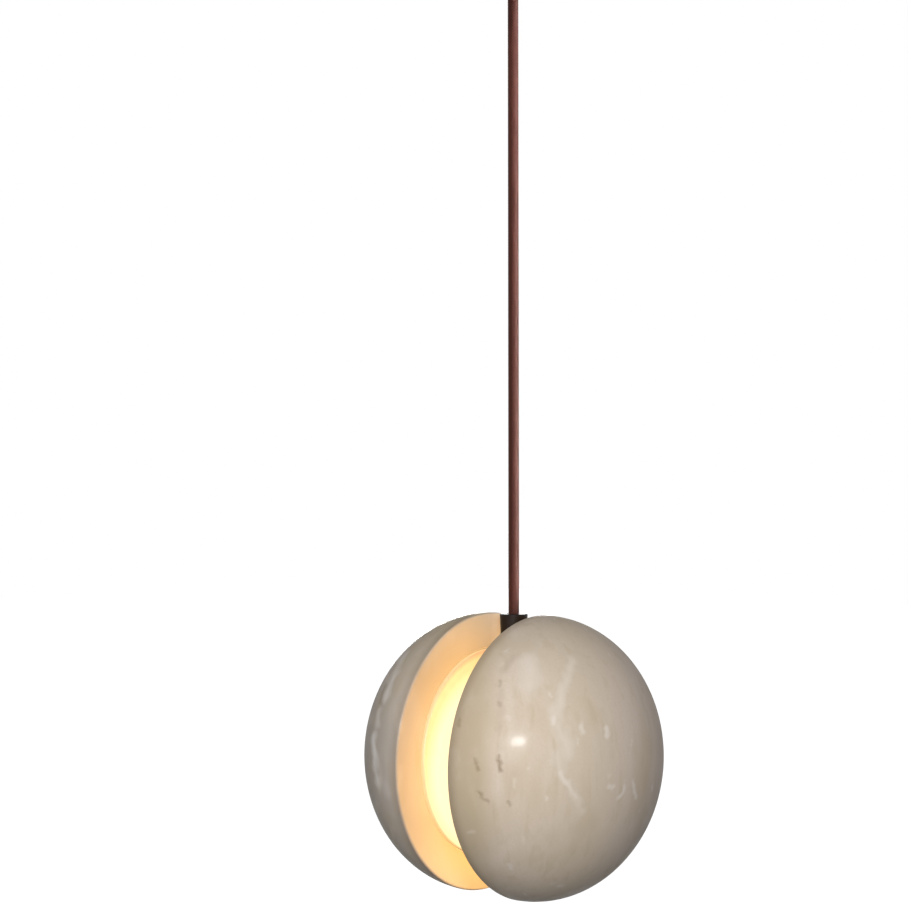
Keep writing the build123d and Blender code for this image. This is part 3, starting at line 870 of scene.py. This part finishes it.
def near_line(tree, start, end, reach):
    """Numbers of a tree's places within reach of a line."""
    steps = math.ceil((end - start).length / reach) + 1
    found = set()
    for step in range(steps + 1):
        found.update(index for _, index, _ in tree.find_range(start.lerp(end, step / steps), reach))
    return found


def place_tree(vertices):
    tree = KDTree(len(vertices))
    for index, vertex in enumerate(vertices):
        tree.insert(vertex.co, index)
    tree.balance()
    return tree


def mark_stone(dome, side, pits, flecks_and_reflections):
    """Refine the skin round the narrow marks, shade all marks in two layers and sink the pits."""
    build = bmesh.new()
    build.from_mesh(dome.data)
    build.verts.ensure_lookup_table()
    tree = place_tree(build.verts)
    chosen = set()
    for start, end, width, _ in pits + flecks_and_reflections:
        if width < narrow_mark:
            chosen |= near_line(tree, start, end, mark_reach * width)
    edges = {edge for index in chosen for edge in build.verts[index].link_edges}
    bmesh.ops.subdivide_edges(build, edges=list(edges), cuts=mark_cuts, use_grid_fill=True)
    build.verts.ensure_lookup_table()
    tree = place_tree(build.verts)
    for name, lines, sink in (("pit", pits, pit_sink), ("fleck_and_reflection", flecks_and_reflections, 0.0)):
        layer = build.verts.layers.float.new(name)
        build.verts.ensure_lookup_table()
        for start, end, width, strength in lines:
            for index in near_line(tree, start, end, mark_reach * width):
                vertex = build.verts[index]
                share = strength * line_share(vertex.co, start, end, width)
                deeper = max(0.0, share - vertex[layer]) * sink * width
                vertex.co -= outer_normal(vertex.co, side) * deeper
                vertex[layer] = max(vertex[layer], share)
    build.to_mesh(dome.data)
    build.free()


def make_dome(side_name, side):
    points, faces = turned_mesh(dome_profile(), side)
    dome = add_mesh(f"honed_dome_{side_name}", points, faces, stone)
    outer_vertices = 1 + outer_steps * dome_sides
    for vertex in dome.data.vertices[:outer_vertices]:
        wave = noise.noise(vertex.co * hone_scale)
        vertex.co -= outer_normal(vertex.co, side) * hone_depth * (0.5 + 0.5 * wave)
    chance = random.Random(f"stone {side_name}")
    pits = [mark for mark in scattered_marks(scattered_pits, side, chance) if not in_photo(mark, side)]
    flecks_and_reflections = scattered_marks(scattered_flecks, side, chance)
    pits += [photo_mark(line, side) for line in photo_pits[side_name]]
    flecks_and_reflections += [photo_mark(line, side) for line in photo_flecks_and_reflections[side_name]]
    mark_stone(dome, side, pits, flecks_and_reflections)
    dome.data.shade_smooth()
    dome.data.set_sharp_from_angle(angle=math.radians(35))
    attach(dome, "head")
    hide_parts(f"stone_dome_{side_name}")


for side_name, side in sides.items():
    make_dome(side_name, side)


# The lamp's own warm light in the gap, from a disc-shaped light in front of each opal disc
glow_colour = (1.0, 0.56, 0.13)
glow_power = 0.13
glow_offset = 0.0006
glow_radius = dome_radius
glow_drop = 0.009

for side_name, side in sides.items():
    glow = bpy.data.lights.new(f"disc_glow_{side_name}", "AREA")
    glow.shape = "DISK"
    glow.size = 2 * glow_radius
    glow.energy = glow_power
    glow.color = glow_colour
    lamp = bpy.data.objects.new(glow.name, glow)
    lamp.location = (side * (disc_low.x - glow_offset), 0, head_z - glow_drop)
    lamp.rotation_euler = (0, side * math.radians(90), 0)
    lamp.visible_camera = False
    lamp.visible_glossy = False
    bpy.context.scene.collection.objects.link(lamp)
    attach(lamp, "head")


# Studio: a pale floor well below the lamp, a white surround and soft lights
horizon_light = 0.02
overhead_light = 0.18
floor_z = -1.75
floor_reach = 20.0
near_floor = 0.8
far_floor = 3.2
near_shine = 0.7
far_shine = 1.0
floor_as_lit = (0.05, 0.05, 0.05, 1)
floor_as_seen = (0.8, 0.8, 0.8, 1)


def seen_by_eye(nodes, links):
    """A value of 1 for rays that show the background, direct or in a reflection."""
    path = nodes.new("ShaderNodeLightPath")
    total = path.outputs["Is Camera Ray"]
    for name in ("Is Glossy Ray", "Is Transmission Ray"):
        node = nodes.new("ShaderNodeMath")
        node.operation = "MAXIMUM"
        links.new(total, node.inputs[0])
        links.new(path.outputs[name], node.inputs[1])
        total = node.outputs["Value"]
    return total


def make_floor():
    graph = Graph("pale_floor")
    output = graph.nodes["Material Output"]
    graph.set(Roughness=0.9, Specular_IOR_Level=0.1)
    seen = seen_by_eye(graph.nodes, graph.links)
    graph.join(graph.mix(seen, floor_as_lit, floor_as_seen), "Base Color")
    shine = graph.nodes.new("ShaderNodeEmission")
    reach = graph.vector_math("LENGTH", graph.place)["Value"]
    strength = graph.spread(reach, near_floor, far_floor, near_shine, far_shine)
    graph.links.new(graph.math("MULTIPLY", strength, seen), shine.inputs["Strength"])
    both = graph.nodes.new("ShaderNodeAddShader")
    graph.links.new(graph.shader.outputs["BSDF"], both.inputs[0])
    graph.links.new(shine.outputs["Emission"], both.inputs[1])
    graph.links.new(both.outputs["Shader"], output.inputs["Surface"])
    corners = [(x * floor_reach, y * floor_reach, 0) for x, y in ((-1, -1), (1, -1), (1, 1), (-1, 1))]
    floor = add_mesh("studio_floor", corners, [(0, 1, 2, 3)], graph.material)
    floor.location = (0, 0, floor_z)


def make_world():
    world = bpy.data.worlds.new("studio_world")
    world.use_nodes = True
    nodes, links = world.node_tree.nodes, world.node_tree.links
    soft = nodes["Background"]
    soft.inputs["Color"].default_value = (1, 1, 1, 1)
    height = nodes.new("ShaderNodeSeparateXYZ")
    links.new(nodes.new("ShaderNodeTexCoord").outputs["Generated"], height.inputs["Vector"])
    sky = nodes.new("ShaderNodeMapRange")
    for socket, number in zip(list(sky.inputs)[1:5], (0.0, 1.0, horizon_light, overhead_light)):
        socket.default_value = number
    links.new(height.outputs["Z"], sky.inputs["Value"])
    links.new(sky.outputs["Result"], soft.inputs["Strength"])
    white = nodes.new("ShaderNodeBackground")
    white.inputs["Color"].default_value = (1, 1, 1, 1)
    white.inputs["Strength"].default_value = 1.0
    choice = nodes.new("ShaderNodeMixShader")
    links.new(seen_by_eye(nodes, links), choice.inputs["Fac"])
    links.new(soft.outputs["Background"], choice.inputs[1])
    links.new(white.outputs["Background"], choice.inputs[2])
    links.new(choice.outputs["Shader"], nodes["World Output"].inputs["Surface"])
    bpy.context.scene.world = world


def add_softbox(name, azimuth, elevation, distance, width, height, level, aim=head_centre, beam=180):
    """A rectangular soft light on a place, to a level at which 1 shows a colour as it is."""
    outward = direction(azimuth, elevation)
    data = bpy.data.lights.new(name, "AREA")
    data.shape = "RECTANGLE"
    data.size = width
    data.size_y = height
    data.energy = level * (math.pi * distance) ** 2
    data.spread = math.radians(beam)
    softbox = bpy.data.objects.new(name, data)
    softbox.location = aim + outward * distance
    softbox.rotation_euler = outward.to_track_quat("Z", "Y").to_euler()
    softbox.visible_camera = False
    bpy.context.scene.collection.objects.link(softbox)


make_floor()
make_world()
canopy_top = Vector((0, 0, 0))
cord_middle = Vector((0, 0, (hanger_top + canopy_bottom) / 2))
softboxes = {
    "key_light": dict(azimuth=40.7, elevation=17.0, distance=0.72, width=0.15, height=0.058, level=0.32),
    "front_light": dict(azimuth=38, elevation=12, distance=1.2, width=0.5, height=0.5, level=0.23),
    "broad_light": dict(azimuth=15, elevation=15, distance=2.4, width=1.2, height=1.2, level=0.2),
    "right_light": dict(azimuth=95, elevation=10, distance=2.4, width=1.2, height=1.2, level=0.06),
    "back_fill": dict(azimuth=222, elevation=3, distance=2.4, width=0.5, height=0.5, level=0.5),
    "canopy_light": dict(
        azimuth=30,
        elevation=46,
        distance=0.6,
        width=0.2,
        height=0.2,
        level=0.035,
        aim=canopy_top,
        beam=24,
    ),
    "cord_strip": dict(
        azimuth=112,
        elevation=0,
        distance=0.25,
        width=0.03,
        height=0.414,
        level=0.2,
        aim=cord_middle,
        beam=6,
    ),
}
for name, settings in softboxes.items():
    add_softbox(name, **settings)
bpy.context.scene.view_settings.view_transform = "Standard"
